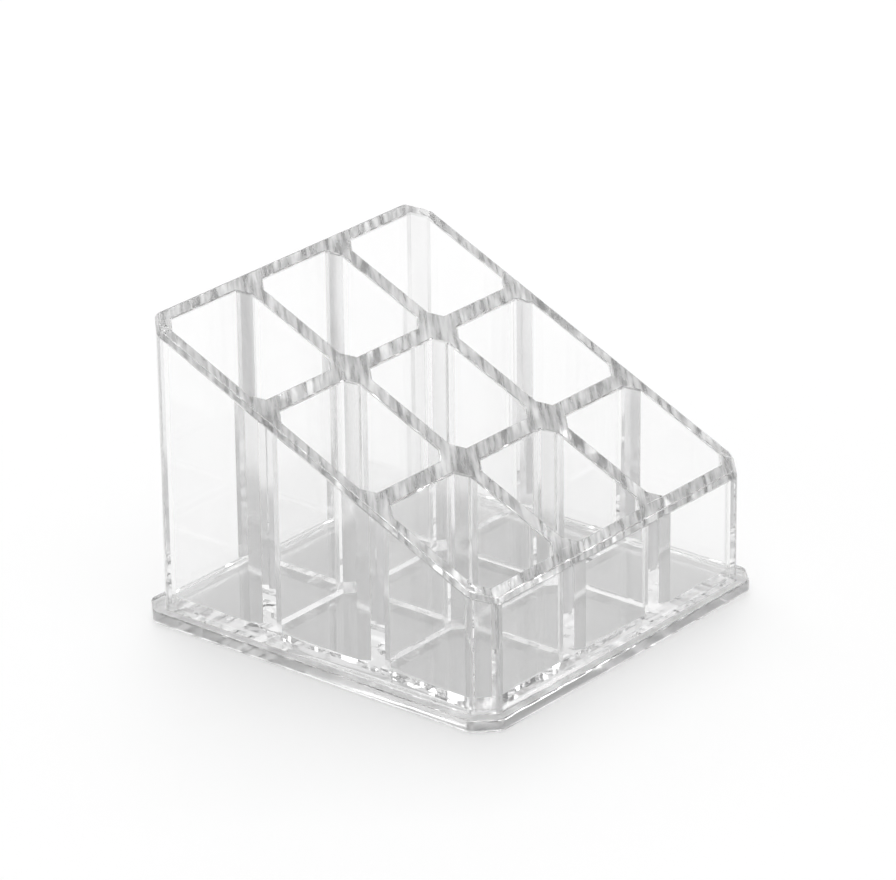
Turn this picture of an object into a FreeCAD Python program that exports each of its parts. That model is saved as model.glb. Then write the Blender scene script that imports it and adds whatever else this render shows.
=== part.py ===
import FreeCAD, Part
import os
import Sketcher

# A clear organizer with three rows of three compartments. Four walls and four corner posts stand on a
# base plate around a floor plate. Two cross dividers and two long dividers stand on the floor plate and
# meet in halved joints. Every rim lies in one plane that falls from the rear to the front.
# Millimetres, +Z up, origin at the bottom centre of the base plate, front at -Y.

SIZES = {
    "block_width": 84.0,
    "block_depth": 85.0,
    "front_height": 26.2,
    "rear_height": 64.0,
    "wall_thickness": 3.2,
    "divider_thickness": 3.5,
    "cell_chamfer": 2.3,
    "rim_bevel": 0.8,
    "floor_thickness": 2.6,
    "base_thickness": 2.8,
    "base_overhang": 2.0,
    "base_chamfer": 4.4,
}

doc = FreeCAD.newDocument("vanity_organizer")
sheet = doc.addObject("Spreadsheet::Sheet", "Sizes")
for row, (alias, value) in enumerate(SIZES.items(), start=1):
    sheet.set(f"A{row}", alias)
    sheet.set(f"B{row}", str(value))
    sheet.setAlias(f"B{row}", alias)
doc.recompute()

# Sizes as expressions. Plan places are measured from the block's front left corner, and heights from
# the top of the base plate.
WIDTH = "Sizes.block_width"
DEPTH = "Sizes.block_depth"
WALL = "Sizes.wall_thickness"
DIVIDER = "Sizes.divider_thickness"
CHAMFER = "Sizes.cell_chamfer"
FLOOR = "Sizes.floor_thickness"
BASE = "Sizes.base_thickness"
OVERHANG = "Sizes.base_overhang"
SLOPE = f"((Sizes.rear_height - Sizes.front_height) / {DEPTH})"
# Uprights are padded and cut a wall's thickness past the block, where the rim plane stands higher.
PAST_FRONT = f"(-{WALL})"
PAST_REAR = f"({DEPTH} + {WALL})"
# A post reaches along each wall as far as its inner facet does. Its outer facet is cut so that the
# corner is as thick as the walls.
REACH = f"({WALL} + {CHAMFER})"
FACET = f"({CHAMFER} + {WALL} * (2 - sqrt(2)))"
CLOSE = 1e-6


def rim_height(place):
    """Height of the rim plane at a distance from the front face."""
    return f"(Sizes.front_height - {BASE} + {SLOPE} * {place})"


def divider_face(span, index):
    """Near face of divider 1 or 2 across a span that holds three equal compartments."""
    cell = f"(({span} - 2 * {WALL} - 2 * {DIVIDER}) / 3)"
    return f"({WALL} + {index} * {cell} + {index - 1} * {DIVIDER})"


def lap_height(index):
    """Height of a cross divider's halved joints, midway between the floor and the rim above them."""
    middle = f"({divider_face(DEPTH, index)} + {DIVIDER} / 2)"
    return f"(({FLOOR} + {rim_height(middle)}) / 2)"


def new_body(label, width=WIDTH, depth=DEPTH, bottom=BASE):
    """A body whose plan is centred on the origin."""
    body = doc.addObject("PartDesign::Body", label)
    body.Label = label
    body.setExpression("Placement.Base.x", f"-({width}) / 2")
    body.setExpression("Placement.Base.y", f"-({depth}) / 2")
    body.setExpression("Placement.Base.z", bottom)
    return body


def new_sketch(body, role, loops, offset="0"):
    """Closed polygons on one of the body's own planes. Two expressions place each corner."""
    sketch = body.newObject("Sketcher::SketchObject", f"{body.Label}_sketch")
    plane = next(item for item in body.Origin.OriginFeatures if item.Role == role)
    sketch.AttachmentSupport = (plane, [""])
    sketch.MapMode = "FlatFace"
    sketch.setExpression("AttachmentOffset.Base.z", offset)
    for loop in loops:
        corners = [FreeCAD.Vector(*map(sheet.evalExpression, corner)) for corner in loop]
        following = corners[1:] + corners[:1]
        sides = [sketch.addGeometry(Part.LineSegment(*ends)) for ends in zip(corners, following)]
        for side, after in zip(sides, sides[1:] + sides[:1]):
            sketch.addConstraint(Sketcher.Constraint("Coincident", side, 2, after, 1))
        for side, corner, (across, along) in zip(sides, corners, loop):
            for kind, size, formula in (("DistanceX", corner.x, across), ("DistanceY", corner.y, along)):
                number = sketch.addConstraint(Sketcher.Constraint(kind, -1, 1, side, 1, size))
                sketch.setExpression(f"Constraints[{number}]", formula)
    return sketch


def pad(body, loop, height, offset="0"):
    profile = new_sketch(body, "XY_Plane", [loop], offset)
    feature = body.newObject("PartDesign::Pad", f"{body.Label}_pad")
    feature.Profile = profile
    feature.setExpression("Length", height)
    doc.recompute()


def pocket(body, profile, depth=None):
    """Cuts the way that the sketch faces, to a depth or through everything."""
    volume = body.Shape.Volume
    feature = body.newObject("PartDesign::Pocket", f"{body.Label}_pocket")
    feature.Profile = profile
    feature.Reversed = True
    if depth is None:
        feature.Type = "ThroughAll"
    else:
        feature.setExpression("Length", depth)
    doc.recompute()
    if body.Shape.Volume >= volume:
        raise RuntimeError(f"{feature.Name} cuts nothing")


def cut_rim(body):
    """Takes off what stands above the rim plane."""
    top = f"({rim_height(PAST_REAR)} + {WALL})"
    above = [(PAST_FRONT, rim_height(PAST_FRONT)), (PAST_REAR, rim_height(PAST_REAR)),
             (PAST_REAR, top), (PAST_FRONT, top)]
    pocket(body, new_sketch(body, "YZ_Plane", [above]))


def bevel_outer_rim(body):
    """Bevels the rim edges that lie on the block's outer faces."""
    rise = sheet.evalExpression(SLOPE)
    start = sheet.evalExpression(rim_height("0"))
    sides = (0, sheet.block_width), (0, sheet.block_depth)

    def on_outer_rim(corner):
        place = corner.Point
        outside = any(abs(place[axis] - side) < CLOSE for axis in (0, 1) for side in sides[axis])
        return outside and abs(place.z - start - rise * place.y) < CLOSE

    base = body.Tip
    edges = [f"Edge{number}" for number, edge in enumerate(base.Shape.Edges, start=1)
             if all(map(on_outer_rim, edge.Vertexes))]
    feature = body.newObject("PartDesign::Chamfer", f"{body.Label}_rim_bevel")
    feature.Base = (base, edges)
    feature.setExpression("Size", "Sizes.rim_bevel")
    doc.recompute()


def rectangle(left, front, right, rear):
    return [(left, front), (right, front), (right, rear), (left, rear)]


def cut_corners(left, front, right, rear, leg):
    """A rectangle whose corners are cut at 45 degrees."""
    return [
        (f"{left} + {leg}", front), (f"{right} - {leg}", front),
        (right, f"{front} + {leg}"), (right, f"{rear} - {leg}"),
        (f"{right} - {leg}", rear), (f"{left} + {leg}", rear),
        (left, f"{rear} - {leg}"), (left, f"{front} + {leg}"),
    ]


def make_base_plate():
    width = f"({WIDTH} + 2 * {OVERHANG})"
    depth = f"({DEPTH} + 2 * {OVERHANG})"
    body = new_body("base_plate", width, depth, "0")
    pad(body, cut_corners("0", "0", width, depth, "Sizes.base_chamfer"), BASE)
    return body


def make_floor_plate():
    """The compartments' floor, which fills the plan inside the walls and posts."""
    body = new_body("floor_plate")
    inside = cut_corners(WALL, WALL, f"({WIDTH} - {WALL})", f"({DEPTH} - {WALL})", CHAMFER)
    pad(body, inside, FLOOR)
    return body


def make_upright(label, loop, bottom="0"):
    """A piece that stands up to the rim plane."""
    body = new_body(label)
    pad(body, loop, f"({rim_height(PAST_REAR)} - {bottom})", bottom)
    cut_rim(body)
    return body


def make_walls():
    """Four plates, each butted between two posts."""
    across = REACH, f"({WIDTH} - {REACH})"
    along = REACH, f"({DEPTH} - {REACH})"
    plans = {
        "front_wall": rectangle(across[0], "0", across[1], WALL),
        "rear_wall": rectangle(across[0], f"({DEPTH} - {WALL})", across[1], DEPTH),
        "left_wall": rectangle("0", along[0], WALL, along[1]),
        "right_wall": rectangle(f"({WIDTH} - {WALL})", along[0], WIDTH, along[1]),
    }
    walls = [make_upright(label, loop) for label, loop in plans.items()]
    for wall in walls:
        bevel_outer_rim(wall)
    return walls


def make_posts():
    """Four corner posts with 45 degree facets outside and inside."""
    plan = [(FACET, "0"), (REACH, "0"), (REACH, WALL), (WALL, REACH), ("0", REACH), ("0", FACET)]
    posts = []
    for end in ("front", "rear"):
        for side in ("left", "right"):
            loop = [(across if side == "left" else f"({WIDTH} - {across})",
                     along if end == "front" else f"({DEPTH} - {along})") for across, along in plan]
            post = make_upright(f"{end}_{side}_post", loop)
            bevel_outer_rim(post)
            posts.append(post)
    return posts


def divider_plan(span, other_span, index):
    """Outline of a divider, along it and across it, with flared feet and flared crossings."""
    near = divider_face(other_span, index)
    far = f"({near} + {DIVIDER})"
    end = f"({span} - {WALL})"
    stations = [(WALL, CHAMFER), (REACH, "0")]
    for crossing in (1, 2):
        face = divider_face(span, crossing)
        stations += [(f"({face} - {CHAMFER})", "0"), (face, CHAMFER),
                     (f"({face} + {DIVIDER})", CHAMFER), (f"({face} + {DIVIDER} + {CHAMFER})", "0")]
    stations += [(f"({end} - {CHAMFER})", "0"), (end, CHAMFER)]
    near_side = [(place, f"({near} - {flare})") for place, flare in stations]
    far_side = [(place, f"({far} + {flare})") for place, flare in reversed(stations)]
    return near_side + far_side


def crossing_plan(cross_index, long_index):
    """The square that a crossing and its flares take up."""
    left = divider_face(WIDTH, long_index)
    front = divider_face(DEPTH, cross_index)
    return rectangle(f"({left} - {CHAMFER})", f"({front} - {CHAMFER})",
                     f"({left} + {DIVIDER} + {CHAMFER})", f"({front} + {DIVIDER} + {CHAMFER})")


def make_cross_dividers():
    """Dividers from side to side, which keep the lower half of each crossing."""
    dividers = []
    for index, end in enumerate(("front", "rear"), start=1):
        body = make_upright(f"{end}_cross_divider", divider_plan(WIDTH, DEPTH, index), FLOOR)
        notches = [crossing_plan(index, other) for other in (1, 2)]
        pocket(body, new_sketch(body, "XY_Plane", notches, lap_height(index)))
        dividers.append(body)
    return dividers


def make_long_dividers():
    """Dividers from front to rear, which keep the upper half of each crossing."""
    dividers = []
    for index, side in enumerate(("left", "right"), start=1):
        plan = [(across, along) for along, across in divider_plan(DEPTH, WIDTH, index)]
        body = make_upright(f"{side}_long_divider", plan, FLOOR)
        for other in (1, 2):
            notch = new_sketch(body, "XY_Plane", [crossing_plan(other, index)], FLOOR)
            pocket(body, notch, f"({lap_height(other)} - {FLOOR})")
        dividers.append(body)
    return dividers


bodies = [make_base_plate(), make_floor_plate()]
bodies += make_walls() + make_posts() + make_cross_dividers() + make_long_dividers()
doc.recompute()

failed = [item.Name for item in doc.Objects if {"Invalid", "Error"} & set(item.State)]
failed += [body.Label for body in bodies if body.Shape.isNull() or not body.Shape.isValid()]
if failed:
    raise RuntimeError(f"not built: {failed}")

os.makedirs("parts", exist_ok=True)
for body in bodies:
    body.Shape.exportStep(f"parts/{body.Label}.step")
    print(f"{body.Label}: {body.Shape.Volume:.1f} mm3")
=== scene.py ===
import math

import bmesh
import bpy
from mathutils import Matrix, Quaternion, Vector


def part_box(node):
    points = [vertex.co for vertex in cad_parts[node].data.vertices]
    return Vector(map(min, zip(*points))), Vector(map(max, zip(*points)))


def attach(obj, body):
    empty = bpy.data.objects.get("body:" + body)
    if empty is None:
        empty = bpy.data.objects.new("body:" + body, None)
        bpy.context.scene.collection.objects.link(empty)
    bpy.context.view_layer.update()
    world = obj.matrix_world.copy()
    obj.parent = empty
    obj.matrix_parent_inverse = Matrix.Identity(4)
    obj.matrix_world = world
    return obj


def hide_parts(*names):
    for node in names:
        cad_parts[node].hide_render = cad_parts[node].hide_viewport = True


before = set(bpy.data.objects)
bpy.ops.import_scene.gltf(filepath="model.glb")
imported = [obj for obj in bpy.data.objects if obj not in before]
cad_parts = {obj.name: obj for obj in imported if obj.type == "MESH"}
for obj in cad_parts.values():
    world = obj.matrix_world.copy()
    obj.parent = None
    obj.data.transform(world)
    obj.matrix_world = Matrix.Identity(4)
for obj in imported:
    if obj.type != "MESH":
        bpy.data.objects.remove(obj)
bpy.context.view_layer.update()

# A clear organizer of bonded acrylic plates. Metres, in the frame's own axes: front at -Y, +Z up.
MM = 0.001


def low(node):
    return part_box(node)[0]


def high(node):
    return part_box(node)[1]


# Sizes of the block, read from the frame.
LEFT = low("left_wall").x
RIGHT = high("right_wall").x
FRONT = low("front_wall").y
REAR = high("rear_wall").y
WALL = high("left_wall").x - LEFT
# How far a post reaches along its two walls, and how far its flare runs along their inner faces.
REACH = high("front_left_post").x - LEFT
FLARE = REACH - WALL
# A post's outer facet lies a wall's thickness outside its flare. This is what it cuts off each side.
FACET = FLARE + WALL * (2 - math.sqrt(2))
BASE_TOP = high("base_plate").z
FLOOR_TOP = high("floor_plate").z
# The rim plane runs from the inner top edge of the front wall to the rear top edge of the left wall.
RIM_START = high("front_wall").z
RIM_SLOPE = (high("left_wall").z - RIM_START) / (REAR - REACH - FRONT - WALL)
LONG_DIVIDERS = ("left_long_divider", "right_long_divider")
CROSS_DIVIDERS = ("front_cross_divider", "rear_cross_divider")

# Bevels and roundings of the polished edges, and the thin joint between the block and the base plate.
RIM_BEVEL = 0.8 * MM
BEVEL_ROUND = 0.15 * MM
BEVEL_STEPS = 2
CELL_ROUND = 0.3 * MM
CELL_STEPS = 2
POST_ROUND = 0.8 * MM
POST_STEPS = 4
BASE_CORNER = 4.4 * MM
BASE_ROUND = 0.8 * MM
LEDGE_ROUND = 0.3 * MM
BASE_STEPS = 3
ROUND_PROFILE = 0.5
JOINT_GAP = 0.03 * MM
# How near counts as on a line, and how far the roundings draw a joint's end out of its plane.
NEAR = 0.01 * MM
AT_JOINT = 0.2 * MM
# The least turn of a sharp edge, the most turn within a flat face, and how far a normal may stray.
SHARP = math.radians(10)
FLAT = math.radians(0.1)
ALIGNED = 0.1
# Faces are sorted by their distance from this point, which lies off every plane of symmetry.
SORT_FROM = (0.61, 0.37, 0.23)


def rim_height(y):
    return RIM_START + RIM_SLOPE * (y - FRONT - WALL)


def spans(dividers, axis):
    """Outer edges of each divider's flares along an axis."""
    return [(low(node)[axis], high(node)[axis]) for node in dividers]


LONG_SPANS = spans(LONG_DIVIDERS, 0)
CROSS_SPANS = spans(CROSS_DIVIDERS, 1)


def plan_lines(start, end, dividers):
    """Where the faces, flares and joints of the plan cross one axis."""
    lines = [start + WALL, start + REACH]
    for first, last in dividers:
        lines += [first, first + FLARE, last - FLARE, last]
    return lines + [end - REACH, end - WALL]


def cell_sides(start, end, dividers):
    """Pairs of faces that bound the three compartments along one axis."""
    faces = [start + WALL]
    for first, last in dividers:
        faces += [first + FLARE, last - FLARE]
    faces.append(end - WALL)
    return list(zip(faces[::2], faces[1::2]))


ACROSS = plan_lines(LEFT, RIGHT, LONG_SPANS)
ALONG = plan_lines(FRONT, REAR, CROSS_SPANS)
CELLS = [
    (x_sides, y_sides)
    for x_sides in cell_sides(LEFT, RIGHT, LONG_SPANS)
    for y_sides in cell_sides(FRONT, REAR, CROSS_SPANS)
]
CROSSINGS = [(x_sides, y_sides) for x_sides in LONG_SPANS for y_sides in CROSS_SPANS]


def lap_height(crossing):
    """Half way up a crossing, where the two dividers are halved into each other."""
    x_sides, y_sides = crossing
    return (FLOOR_TOP + rim_height(sum(y_sides) / 2)) / 2


def near(a, b, limit=NEAR):
    return abs(a - b) < limit


def depth_in(place, sides):
    """How far a place lies inside a pair of sides."""
    return min(place - sides[0], sides[1] - place)


def depths_in(place, x_sides, y_sides):
    return depth_in(place.x, x_sides), depth_in(place.y, y_sides)


def in_cell(place):
    """Whether a place in plan is open, in a compartment and clear of its flares."""
    depths = [depths_in(place, *cell) for cell in CELLS]
    return any(min(pair) > 0 and sum(pair) > FLARE for pair in depths)


def is_flare_end(place):
    """A corner of a compartment, where a flare meets a straight face."""
    depths = [depths_in(place, *cell) for cell in CELLS]
    return any(near(min(pair), 0) and near(max(pair), FLARE) for pair in depths)


def in_ring(place):
    """Whether a place in plan belongs to the walls and posts."""
    depths = depths_in(place, (LEFT + WALL, RIGHT - WALL), (FRONT + WALL, REAR - WALL))
    return min(depths) < NEAR or sum(depths) < FLARE + NEAR


def outer_depth(place):
    """How far a place in plan lies inside the block's outer faces."""
    depths = depths_in(place, (LEFT, RIGHT), (FRONT, REAR))
    return min(*depths, (sum(depths) - FACET) / math.sqrt(2))


def crossing_at(place):
    """The crossing whose square holds a place in plan."""
    for crossing in CROSSINGS:
        if min(depths_in(place, *crossing)) > -NEAR:
            return crossing
    return None


def ring_owner(place):
    """The wall or post that holds a place in plan."""
    side = "left" if place.x < 0 else "right"
    end = "front" if place.y < 0 else "rear"
    at_side, at_end = (depth < REACH for depth in depths_in(place, (LEFT, RIGHT), (FRONT, REAR)))
    if at_side and at_end:
        return f"{end}_{side}_post"
    return f"{side}_wall" if at_side else f"{end}_wall"


def divider_owner(place):
    """The divider that holds a place. At a crossing the long one has the upper half."""
    crossing = crossing_at(place)
    if crossing is None or place.z > lap_height(crossing) - NEAR:
        for node, sides in zip(LONG_DIVIDERS, LONG_SPANS):
            if depth_in(place.x, sides) > 0:
                return node
    return CROSS_DIVIDERS[0] if place.y < 0 else CROSS_DIVIDERS[1]


def owner(place):
    """The piece that a face of the block belongs to, from the middle of the face."""
    return ring_owner(place) if in_ring(place) else divider_owner(place)


def edit(piece):
    bpy.ops.object.select_all(action="DESELECT")
    piece.select_set(True)
    bpy.context.view_layer.objects.active = piece
    bpy.ops.object.mode_set(mode="EDIT")


def leave():
    bpy.ops.object.mode_set(mode="OBJECT")


def pick(kind, test):
    """Selects the faces, edges or vertices in edit mode that pass a test, and counts them."""
    bpy.ops.mesh.select_mode(type=kind)
    bpy.ops.mesh.select_all(action="DESELECT")
    mesh = bmesh.from_edit_mesh(bpy.context.object.data)
    mesh.normal_update()
    items = {"VERT": mesh.verts, "EDGE": mesh.edges, "FACE": mesh.faces}[kind]
    picked = [item for item in items if test(item)]
    for item in picked:
        item.select_set(True)
    mesh.select_flush_mode()
    bmesh.update_edit_mesh(bpy.context.object.data)
    return len(picked)


def middle(item):
    return sum((corner.co for corner in item.verts), Vector()) / len(item.verts)


def is_sharp(edge):
    return edge.calc_face_angle(0) > SHARP


def is_upright(edge):
    return (edge.verts[0].co - edge.verts[1].co).xy.length < NEAR


def looks_sideways(face):
    return near(face.normal.z, 0, ALIGNED)


def is_flare(face):
    """An upright face at 45 degrees in a compartment's corner."""
    diagonal = near(abs(face.normal.x), abs(face.normal.y), ALIGNED)
    return diagonal and looks_sideways(face) and outer_depth(middle(face)) > WALL / 2


def on_rim(item):
    return all(near(corner.co.z, rim_height(corner.co.y)) for corner in item.verts)


def at_height(item, height):
    return all(near(corner.co.z, height) for corner in item.verts)


def on_halving(edge, crossing, axis, side):
    """An open edge along one upright face of a crossing's halved joint."""
    beside = all(near(corner.co[axis], side, AT_JOINT) for corner in edge.verts)
    return edge.is_boundary and beside and crossing_at(middle(edge)) == crossing


def bisect(place, normal):
    bpy.ops.mesh.bisect(plane_co=place, plane_no=normal, threshold=NEAR / 10)


def bevel(width, steps, affect="EDGES"):
    bpy.ops.mesh.bevel(offset=width, segments=steps, affect=affect, profile=ROUND_PROFILE)


def raise_picked(height):
    bpy.ops.mesh.extrude_region_move(TRANSFORM_OT_translate={"value": (0, 0, height)})


def give_finish(piece, finish):
    """Gives the selected faces one of the piece's finishes."""
    piece.active_material_index = FINISHES.index(finish)
    bpy.ops.object.material_slot_assign()


def name_piece(piece, name):
    piece.name = name
    piece.data.name = name


def copy_of(source, name):
    bpy.ops.object.select_all(action="DESELECT")
    source.select_set(True)
    bpy.context.view_layer.objects.active = source
    bpy.ops.object.duplicate()
    name_piece(bpy.context.object, name)
    return bpy.context.object


def draw_plan():
    """The block's plan as a flat sheet, with a line wherever a face, a flare or a joint runs."""
    bpy.ops.object.select_all(action="DESELECT")
    centre = (LEFT + RIGHT) / 2, (FRONT + REAR) / 2, FLOOR_TOP
    bpy.ops.mesh.primitive_plane_add(size=1, location=centre)
    plan = bpy.context.object
    plan.scale = RIGHT - LEFT, REAR - FRONT, 1
    bpy.ops.object.transform_apply(location=True, rotation=False, scale=True)
    edit(plan)
    bpy.ops.mesh.select_all(action="SELECT")
    bevel(FACET, 1, "VERTICES")
    for x in ACROSS:
        bpy.ops.mesh.select_all(action="SELECT")
        bisect((x, 0, 0), (1, 0, 0))
    for y in ALONG:
        bpy.ops.mesh.select_all(action="SELECT")
        bisect((0, y, 0), (0, 1, 0))
    pick("VERT", lambda corner: is_flare_end(corner.co))
    bpy.ops.mesh.vert_connect()
    leave()
    return plan


def raise_block(plan):
    """Walls, posts and dividers drawn up together from the plan to the sloping rim."""
    block = copy_of(plan, "block")
    top = rim_height(REAR)
    edit(block)
    pick("FACE", lambda face: in_cell(middle(face)))
    bpy.ops.mesh.delete(type="FACE")
    bpy.ops.mesh.select_all(action="SELECT")
    raise_picked(top - FLOOR_TOP)
    corners = bmesh.from_edit_mesh(block.data).verts
    for y in sorted({round(corner.co.y / NEAR) * NEAR for corner in corners}):
        pick("VERT", lambda corner: near(corner.co.z, top) and near(corner.co.y, y))
        bpy.ops.transform.translate(value=(0, 0, rim_height(y) - top))
    pick("FACE", lambda face: at_height(face, FLOOR_TOP) and in_ring(middle(face)))
    raise_picked(BASE_TOP + JOINT_GAP - FLOOR_TOP)
    bpy.ops.mesh.select_all(action="SELECT")
    bpy.ops.mesh.normals_make_consistent(inside=False)
    pick("EDGE", lambda edge: at_height(edge, FLOOR_TOP) and outer_depth(middle(edge)) < NEAR)
    bpy.ops.mesh.dissolve_edges(use_verts=True)
    leave()
    return block


def round_block(block):
    """Dulls the flares, marks the height of the halved joints and rounds the posts and every rim edge."""
    edit(block)
    pick("FACE", is_flare)
    give_finish(block, "moulded_corner")
    for crossing in CROSSINGS:
        pick("FACE", lambda face: crossing_at(middle(face)) == crossing and looks_sideways(face))
        bisect((0, 0, lap_height(crossing)), (0, 0, 1))
    pick("EDGE", lambda edge: is_upright(edge) and is_sharp(edge) and outer_depth(middle(edge)) < NEAR)
    bevel(POST_ROUND, POST_STEPS)
    give_finish(block, "scuffed_edge")
    pick("EDGE", lambda edge: on_rim(edge) and is_sharp(edge) and outer_depth(middle(edge)) > WALL / 2)
    bevel(CELL_ROUND, CELL_STEPS)
    give_finish(block, "scuffed_edge")
    pick("EDGE", lambda edge: on_rim(edge) and is_sharp(edge) and outer_depth(middle(edge)) < WALL / 2)
    bevel(RIM_BEVEL, 1)
    # The outer rim bevel takes the rim finish, whose grey streaks are painted reflection.
    give_finish(block, "rim_painted_reflection")
    bpy.ops.mesh.region_to_loop()
    bevel(BEVEL_ROUND, BEVEL_STEPS)
    give_finish(block, "scuffed_edge")
    leave()


def close_halvings(piece):
    """Closes the upright faces that meet in a divider's halved joints."""
    for crossing in CROSSINGS:
        for axis, sides in enumerate(crossing):
            for side in sides:
                if pick("EDGE", lambda edge: on_halving(edge, crossing, axis, side)):
                    bpy.ops.mesh.edge_face_add()
                    give_finish(piece, "clear_bond")


def close_joints(piece):
    """Closes a piece with the faces that were bonded to its neighbours."""
    edit(piece)
    close_halvings(piece)
    pick("EDGE", lambda edge: edge.is_boundary)
    bpy.ops.mesh.fill_holes(sides=0)
    give_finish(piece, "clear_bond")
    pick("FACE", lambda face: at_height(face, FLOOR_TOP))
    give_finish(piece, "clear_bond")
    pick("FACE", lambda face: at_height(face, BASE_TOP + JOINT_GAP))
    give_finish(piece, "base_bond")
    # The rim's top takes the rim finish, whose grey streaks are painted reflection.
    pick("FACE", on_rim)
    give_finish(piece, "rim_painted_reflection")
    tidy_faces()
    leave()


def tidy_faces():
    """Joins flat faces of one finish, in the same order each run, and turns every face outwards."""
    bpy.ops.mesh.select_all(action="SELECT")
    bpy.context.scene.cursor.location = SORT_FROM
    bpy.ops.mesh.sort_elements(type="CURSOR_DISTANCE", elements={"VERT", "EDGE", "FACE"})
    bpy.ops.mesh.dissolve_limited(angle_limit=FLAT, delimit={"MATERIAL"})
    bpy.ops.mesh.select_all(action="SELECT")
    bpy.ops.mesh.normals_make_consistent(inside=False)


def add_finishes(piece):
    for finish in FINISHES:
        piece.data.materials.append(bpy.data.materials[finish])


def place_piece(piece, node):
    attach(piece, "root")
    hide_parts(node)


def make_uprights(plan):
    """The walls, posts and dividers, parted along their joints."""
    block = raise_block(plan)
    add_finishes(block)
    round_block(block)
    for node in sorted({owner(face.center) for face in block.data.polygons}):
        edit(block)
        pick("FACE", lambda face: owner(middle(face)) == node)
        bpy.ops.mesh.separate(type="SELECTED")
        leave()
        piece = next(item for item in bpy.context.selected_objects if item != block)
        name_piece(piece, f"{node}_sheet")
        close_joints(piece)
        place_piece(piece, node)
    bpy.data.objects.remove(block)


def make_floor(plan):
    """The plate inside the walls and posts, bare in the compartments and bonded under the dividers."""
    floor = copy_of(plan, "floor_sheet")
    add_finishes(floor)
    edit(floor)
    pick("FACE", lambda face: in_ring(middle(face)))
    bpy.ops.mesh.delete(type="FACE")
    bpy.ops.mesh.select_all(action="SELECT")
    raise_picked(BASE_TOP + JOINT_GAP - FLOOR_TOP)
    pick("FACE", lambda face: not (at_height(face, FLOOR_TOP) and in_cell(middle(face))))
    give_finish(floor, "clear_bond")
    pick("FACE", lambda face: at_height(face, BASE_TOP + JOINT_GAP))
    give_finish(floor, "base_bond")
    tidy_faces()
    leave()
    place_piece(floor, "floor_plate")


def round_base(base, bottom):
    """Cuts the base plate's corners and rounds its edges."""
    pick("EDGE", is_upright)
    bevel(BASE_CORNER, 1)
    pick("EDGE", is_upright)
    bevel(BASE_ROUND, BASE_STEPS)
    pick("EDGE", lambda edge: is_sharp(edge) and at_height(edge, bottom))
    bevel(BASE_ROUND, BASE_STEPS)
    pick("EDGE", lambda edge: is_sharp(edge) and at_height(edge, BASE_TOP))
    bevel(LEDGE_ROUND, BASE_STEPS)
    give_finish(base, "scuffed_edge")
    # The base plate's outer sides take the cut edge finish, whose grey is painted shade.
    pick("FACE", lambda face: looks_sideways(face) and outer_depth(middle(face)) < 0)
    give_finish(base, "cut_edge_painted_shade")


def outline_cuts():
    """Planes of the block's outer faces and facets, each as a place and a normal."""
    cuts = [((x, 0, 0), (1, 0, 0)) for x in (LEFT, RIGHT)]
    cuts += [((0, y, 0), (0, 1, 0)) for y in (FRONT, REAR)]
    for x, turn_x in ((LEFT, 1), (RIGHT, -1)):
        for y, turn_y in ((FRONT, 1), (REAR, -1)):
            cuts.append(((x + turn_x * FACET, y, 0), (turn_x, turn_y, 0)))
    return cuts


def make_base():
    """The base plate, with cut corners and a ledge all round the block."""
    first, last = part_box("base_plate")
    bpy.ops.object.select_all(action="DESELECT")
    bpy.ops.mesh.primitive_cube_add(size=1, location=(first + last) / 2)
    base = bpy.context.object
    base.scale = last - first
    bpy.ops.object.transform_apply(location=True, rotation=False, scale=True)
    name_piece(base, "base_sheet")
    add_finishes(base)
    edit(base)
    round_base(base, first.z)
    for place, normal in outline_cuts():
        pick("FACE", lambda face: at_height(face, BASE_TOP))
        bisect(place, normal)
    pick("FACE", lambda face: at_height(face, BASE_TOP) and outer_depth(middle(face)) > 0)
    give_finish(base, "base_bond")
    tidy_faces()
    leave()
    place_piece(base, "base_plate")


def link(tree, source, target):
    tree.links.new(source, target)


def set_input(tree, socket, term):
    """Links an input to a socket, or gives it a plain value."""
    if isinstance(term, bpy.types.NodeSocket):
        link(tree, term, socket)
    else:
        socket.default_value = term


def new_material(name):
    """A new material's node tree and shader."""
    material = bpy.data.materials.new(name)
    material.use_nodes = True
    return material.node_tree, material.node_tree.nodes["Principled BSDF"]


def add_noise(tree, place, grain, detail):
    """Noise over a place, with a number of grains to the metre."""
    noise = tree.nodes.new("ShaderNodeTexNoise")
    set_input(tree, noise.inputs["Scale"], grain)
    noise.inputs["Detail"].default_value = detail
    link(tree, place, noise.inputs["Vector"])
    return noise.outputs["Fac"]


def add_range(tree, value, source, target):
    """A value carried from one range to another and held there. The ends are numbers or sockets."""
    node = tree.nodes.new("ShaderNodeMapRange")
    for name, term in zip(("From Min", "From Max", "To Min", "To Max"), (*source, *target)):
        set_input(tree, node.inputs[name], term)
    link(tree, value, node.inputs["Value"])
    return node.outputs["Result"]


def add_math(tree, operation, first, second=0.0):
    node = tree.nodes.new("ShaderNodeMath")
    node.operation = operation
    set_input(tree, node.inputs[0], first)
    set_input(tree, node.inputs[1], second)
    return node.outputs["Value"]


def object_place(tree, stretch=(1, 1, 1), turn=0.0):
    """A place on the piece, turned about Z, with the axes scaled to draw a pattern out along them."""
    rotate = tree.nodes.new("ShaderNodeVectorRotate")
    rotate.rotation_type = "Z_AXIS"
    set_input(tree, rotate.inputs["Angle"], turn)
    link(tree, tree.nodes.new("ShaderNodeTexCoord").outputs["Object"], rotate.inputs["Vector"])
    mapping = tree.nodes.new("ShaderNodeMapping")
    set_input(tree, mapping.inputs["Scale"], stretch)
    link(tree, rotate.outputs["Vector"], mapping.inputs["Vector"])
    return mapping.outputs["Vector"]
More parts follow.
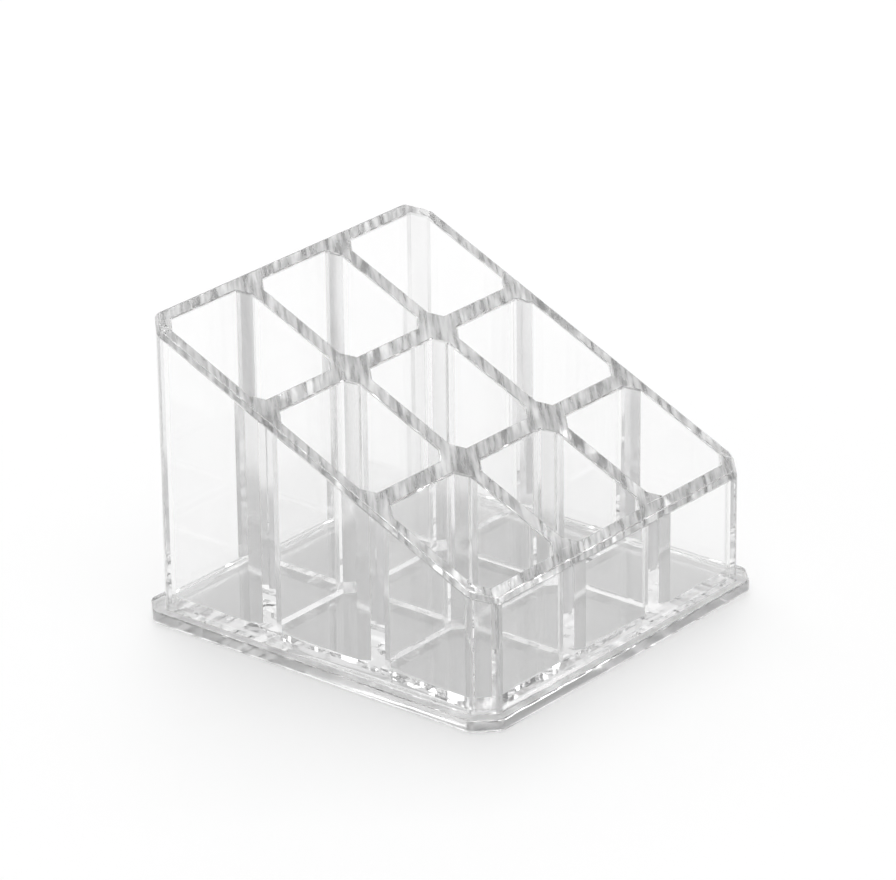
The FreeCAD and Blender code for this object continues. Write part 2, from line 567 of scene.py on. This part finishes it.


# The shared effect of wear and painted light: its sockets with their kinds, the fineness of its noise,
# and the stretch of the noise over which clean turns into worn. On the rim its tones are painted
# reflection, and on the base plate's sides painted shade.
WEAR_INPUTS = (
    ("Grain", "NodeSocketFloat"),
    ("Stretch", "NodeSocketVector"),
    ("Turn", "NodeSocketFloat"),
    ("Clean Tone", "NodeSocketFloat"),
    ("Worn Tone", "NodeSocketFloat"),
    ("Clean Roughness", "NodeSocketFloat"),
    ("Worn Roughness", "NodeSocketFloat"),
)
WEAR_OUTPUTS = (
    ("Tint", "NodeSocketColor"),
    ("Roughness", "NodeSocketFloat"),
    ("Height", "NodeSocketFloat"),
)
WEAR_DETAIL = 4
WEAR_RANGE = (0.35, 0.65)


def make_wear_and_painted_light():
    """A shader group that lays worn patches over a surface, as a tint, a roughness and a height. It also
    carries the painted reflection of the rim and the painted shade of the base plate's sides.
    """
    group = bpy.data.node_groups.new("wear_and_painted_light", "ShaderNodeTree")
    for name, kind in WEAR_INPUTS:
        group.interface.new_socket(name, in_out="INPUT", socket_type=kind)
    for name, kind in WEAR_OUTPUTS:
        group.interface.new_socket(name, in_out="OUTPUT", socket_type=kind)
    given = group.nodes.new("NodeGroupInput").outputs
    result = group.nodes.new("NodeGroupOutput").inputs
    place = object_place(group, given["Stretch"], given["Turn"])
    noise = add_noise(group, place, given["Grain"], WEAR_DETAIL)
    tone = add_range(group, noise, WEAR_RANGE, (given["Clean Tone"], given["Worn Tone"]))
    grey = group.nodes.new("ShaderNodeCombineColor")
    for name in ("Red", "Green", "Blue"):
        link(group, tone, grey.inputs[name])
    link(group, grey.outputs["Color"], result["Tint"])
    rough = add_range(group, noise, WEAR_RANGE, (given["Clean Roughness"], given["Worn Roughness"]))
    link(group, rough, result["Roughness"])
    link(group, noise, result["Height"])


def add_wear_and_painted_light(tree, shader, grain, tones, roughness, stretch=(1, 1, 1), turn=0.0):
    """Lays wear on a shader, its tones and roughness given clean to worn, and gives back its height. The
    painted reflection of the rim and the painted shade of the base plate's sides go through here too.
    """
    wear = tree.nodes.new("ShaderNodeGroup")
    wear.node_tree = bpy.data.node_groups["wear_and_painted_light"]
    for (name, kind), value in zip(WEAR_INPUTS, (grain, stretch, turn, *tones, *roughness)):
        wear.inputs[name].default_value = value
    link(tree, wear.outputs["Tint"], shader.inputs["Base Color"])
    link(tree, wear.outputs["Roughness"], shader.inputs["Roughness"])
    return wear.outputs["Height"]


def add_bump(tree, shader, height, depth):
    node = tree.nodes.new("ShaderNodeBump")
    node.inputs["Strength"].default_value = 1.0
    node.inputs["Distance"].default_value = depth
    link(tree, height, node.inputs["Height"])
    link(tree, node.outputs["Normal"], shader.inputs["Normal"])


ACRYLIC_INDEX = 1.49


def set_glass(shader, clearness=1.0):
    shader.inputs["IOR"].default_value = ACRYLIC_INDEX
    shader.inputs["Transmission Weight"].default_value = clearness


def make_acrylic_with_wear_and_painted_light(name, marks, clearness=1.0, **wear):
    """Acrylic with worn patches, which leave marks of a given depth in its surface. On the rim and the
    base plate's sides the tints also carry painted reflection and painted shade.
    """
    tree, shader = new_material(name)
    set_glass(shader, clearness)
    add_bump(tree, shader, add_wear_and_painted_light(tree, shader, **wear), marks)


def make_clear_face():
    """Polished acrylic with faint smudges and the slow ripple of the moulded sheet."""
    tree, shader = new_material("clear_face")
    set_glass(shader)
    add_wear_and_painted_light(tree, shader, grain=90, tones=(0.996, 0.985), roughness=(0.0, 0.015))
    ripple = add_noise(tree, object_place(tree, stretch=(1, 1, 0.15)), grain=110, detail=1)
    add_bump(tree, shader, ripple, depth=0.004 * MM)


def make_moulded_corner():
    """The flares in the compartments' corners, a little duller than the flat faces."""
    make_acrylic_with_wear_and_painted_light(
        "moulded_corner",
        marks=0.002 * MM,
        grain=90,
        tones=(0.97, 0.88),
        roughness=(0.14, 0.2),
        stretch=(1, 1, 0.15),
    )


def make_rim_painted_reflection():
    """The rim, partly opaque and a little rough, with streaks at a slant across the walls. The streaks'
    grey is painted reflection, standing in for what the rim's fine ripple and the walls under it show.
    """
    make_acrylic_with_wear_and_painted_light(
        "rim_painted_reflection",
        marks=0.001 * MM,
        clearness=0.65,
        grain=900,
        # Painted reflection: the grey tones of the rim's streaks.
        tones=(1.0, 0.34),
        roughness=(0.14, 0.2),
        stretch=(1, 0.12, 0.12),
        turn=math.radians(45),
    )


def make_scuffed_edge():
    """Rounded edges, tinted grey, dulled and nicked by handling, and darker where they are duller."""
    make_acrylic_with_wear_and_painted_light(
        "scuffed_edge",
        marks=0.001 * MM,
        grain=160,
        tones=(0.86, 0.56),
        roughness=(0.05, 0.14),
        stretch=(1, 1, 0.2),
    )


def make_cut_edge_painted_shade():
    """The sawn edge of the base plate, greyer than the moulded faces. The grey is painted shade, standing
    in for the darker light that the plate's edge shows.
    """
    make_acrylic_with_wear_and_painted_light(
        "cut_edge_painted_shade",
        marks=0.002 * MM,
        grain=60,
        # Painted shade: the grey tone of the base plate's sides.
        tones=(0.52, 0.35),
        roughness=(0.05, 0.12),
        stretch=(1, 1, 3),
    )


def make_clear_bond():
    """Cement that fills a joint, so that light passes from sheet to sheet."""
    tree, shader = new_material("clear_bond")
    shader.inputs["Alpha"].default_value = 0.0
    shader.inputs["IOR"].default_value = ACRYLIC_INDEX


# How far the cement has run in, how far its front strays either way, and the width of the front.
BOND_WIDTH = 4.5 * MM
BOND_WANDER = 4 * MM
BOND_FRONT = 0.3 * MM
# The part of the bubbles' noise over which the cement turns dry.
BUBBLE_RANGE = (0.70, 0.71)


def make_base_bond():
    """Cement run in from the block's outline, with a wandering front and a few bubbles left dry."""
    tree, shader = new_material("base_bond")
    set_glass(shader)
    shader.inputs["Roughness"].default_value = 0.0
    place = object_place(tree)
    split = tree.nodes.new("ShaderNodeSeparateXYZ")
    link(tree, place, split.inputs["Vector"])
    depth_x = add_math(tree, "SUBTRACT", RIGHT, add_math(tree, "ABSOLUTE", split.outputs["X"]))
    depth_y = add_math(tree, "SUBTRACT", REAR, add_math(tree, "ABSOLUTE", split.outputs["Y"]))
    depth = add_math(tree, "MINIMUM", depth_x, depth_y)
    stray = add_noise(tree, place, grain=70, detail=2)
    wander = add_range(tree, stray, (0, 1), (-BOND_WANDER, BOND_WANDER))
    reach = add_math(tree, "ADD", depth, wander)
    dry = add_range(tree, reach, (BOND_WIDTH, BOND_WIDTH + BOND_FRONT), (0, 1))
    bubble = add_range(tree, add_noise(tree, place, grain=330, detail=0), BUBBLE_RANGE, (0, 1))
    link(tree, add_math(tree, "MAXIMUM", dry, bubble), shader.inputs["Alpha"])


FINISHES = [
    "clear_face",
    "moulded_corner",
    "rim_painted_reflection",
    "scuffed_edge",
    "cut_edge_painted_shade",
    "clear_bond",
    "base_bond",
]
make_wear_and_painted_light()
make_clear_face()
make_moulded_corner()
make_rim_painted_reflection()
make_scuffed_edge()
make_cut_edge_painted_shade()
make_clear_bond()
make_base_bond()

plan = draw_plan()
make_uprights(plan)
make_floor(plan)
make_base()
bpy.data.objects.remove(plan)

# Camera at the photograph's angle.
IMAGE_WIDTH = 896
FOCAL_PIXELS = 5109
SENSOR = 36.0
CLIP_START = 10 * MM
CAMERA_PLACE = Vector((-713.70, -582.79, 431.26)) * MM
CAMERA_AZIMUTH = math.radians(-50.748)
CAMERA_ELEVATION = math.radians(23.271)
CAMERA_ROLL = math.radians(-0.6625)


def make_camera():
    lens = bpy.data.cameras.new("camera")
    lens.sensor_width = SENSOR
    lens.lens = FOCAL_PIXELS * SENSOR / IMAGE_WIDTH
    lens.clip_start = CLIP_START
    camera = bpy.data.objects.new("camera", lens)
    bpy.context.scene.collection.objects.link(camera)
    level = math.cos(CAMERA_ELEVATION)
    back_x = math.sin(CAMERA_AZIMUTH) * level
    back_y = -math.cos(CAMERA_AZIMUTH) * level
    back = Vector((back_x, back_y, math.sin(CAMERA_ELEVATION)))
    camera.location = CAMERA_PLACE
    camera.rotation_mode = "QUATERNION"
    camera.rotation_quaternion = (-back).to_track_quat("-Z", "Y") @ Quaternion((0, 0, 1), CAMERA_ROLL)
    bpy.context.scene.camera = camera


make_camera()

# Studio floor, a hair below the base plate so that the two faces stay apart.
FLOOR_SIZE = 12
FLOOR_DROP = 0.1 * MM
FLOOR_GRAIN = 30
FLOOR_TONES = (0.935, 0.93)
FLOOR_ROUGHNESS = (0.33, 0.37)
# How much of the floor's white is its own, to the camera, in mirrors and through clear pieces.
SEEN_SHARE = 0.55
MIRROR_SHARE = 0.45
THROUGH_SHARE = 0.56


def make_stage():
    bpy.ops.object.select_all(action="DESELECT")
    bpy.ops.mesh.primitive_plane_add(size=FLOOR_SIZE, location=(0, 0, -FLOOR_DROP))
    table = bpy.context.object
    name_piece(table, "studio_floor")
    tree, shader = new_material("studio_floor")
    add_wear_and_painted_light(tree, shader, FLOOR_GRAIN, FLOOR_TONES, FLOOR_ROUGHNESS)
    path = tree.nodes.new("ShaderNodeLightPath")
    glow = tree.nodes.new("ShaderNodeEmission")
    mix = tree.nodes.new("ShaderNodeMixShader")
    seen = add_math(tree, "MULTIPLY", path.outputs["Is Camera Ray"], SEEN_SHARE)
    mirrored = add_math(tree, "MULTIPLY", path.outputs["Is Glossy Ray"], MIRROR_SHARE)
    through = add_math(tree, "MULTIPLY", path.outputs["Is Transmission Ray"], THROUGH_SHARE)
    share = add_math(tree, "MAXIMUM", seen, add_math(tree, "MAXIMUM", mirrored, through))
    link(tree, share, mix.inputs["Fac"])
    link(tree, shader.outputs["BSDF"], mix.inputs[1])
    link(tree, glow.outputs["Emission"], mix.inputs[2])
    link(tree, mix.outputs["Shader"], tree.nodes["Material Output"].inputs["Surface"])
    table.data.materials.append(bpy.data.materials["studio_floor"])


make_stage()

# Tones of the room by height, from the horizon at 0 to straight up at 1.
ROOM_TONES = ((0.0, 1.0), (0.4, 0.95), (0.55, 0.25), (0.8, 0.12), (1.0, 0.25))


def make_world():
    """A room that lights the object by height, and plain white to the camera."""
    world = bpy.data.worlds.new("studio")
    bpy.context.scene.world = world
    world.use_nodes = True
    tree = world.node_tree
    tree.nodes.clear()
    path = tree.nodes.new("ShaderNodeLightPath")
    place = tree.nodes.new("ShaderNodeTexCoord")
    split = tree.nodes.new("ShaderNodeSeparateXYZ")
    ramp = tree.nodes.new("ShaderNodeValToRGB")
    stops = ramp.color_ramp.elements
    for height, tone in ROOM_TONES[1:-1]:
        stops.new(height)
    for stop, (height, tone) in zip(stops, ROOM_TONES):
        stop.position = height
        stop.color = (tone, tone, tone, 1)
    link(tree, place.outputs["Generated"], split.inputs["Vector"])
    link(tree, split.outputs["Z"], ramp.inputs["Fac"])
    room = tree.nodes.new("ShaderNodeBackground")
    link(tree, ramp.outputs["Color"], room.inputs["Color"])
    white = tree.nodes.new("ShaderNodeBackground")
    white.inputs["Color"].default_value = (1, 1, 1, 1)
    mix = tree.nodes.new("ShaderNodeMixShader")
    link(tree, path.outputs["Is Camera Ray"], mix.inputs["Fac"])
    link(tree, room.outputs["Background"], mix.inputs[1])
    link(tree, white.outputs["Background"], mix.inputs[2])
    out = tree.nodes.new("ShaderNodeOutputWorld")
    link(tree, mix.outputs["Shader"], out.inputs["Surface"])


make_world()


def make_lamp(name, place, side, watts):
    """A square lamp that looks at the origin."""
    lamp = bpy.data.lights.new(name, "AREA")
    lamp.shape = "SQUARE"
    lamp.size = side
    lamp.energy = watts
    stand = bpy.data.objects.new(name, lamp)
    bpy.context.scene.collection.objects.link(stand)
    stand.location = place
    stand.rotation_mode = "QUATERNION"
    stand.rotation_quaternion = (-Vector(place)).to_track_quat("-Z", "Y")
    stand.visible_camera = False


make_lamp("rear_softbox", place=(0.7, 0.8, 1.6), side=1.4, watts=19)
make_lamp("overhead_softbox", place=(-0.2, -0.3, 1.8), side=1.7, watts=15)

# Clear walls stand many deep, so light may turn and pass through many faces.
TURNS = 64
PASSES = 128
scene = bpy.context.scene
scene.view_settings.view_transform = "Standard"
scene.cycles.max_bounces = TURNS
scene.cycles.transmission_bounces = TURNS
scene.cycles.glossy_bounces = TURNS
scene.cycles.transparent_max_bounces = PASSES
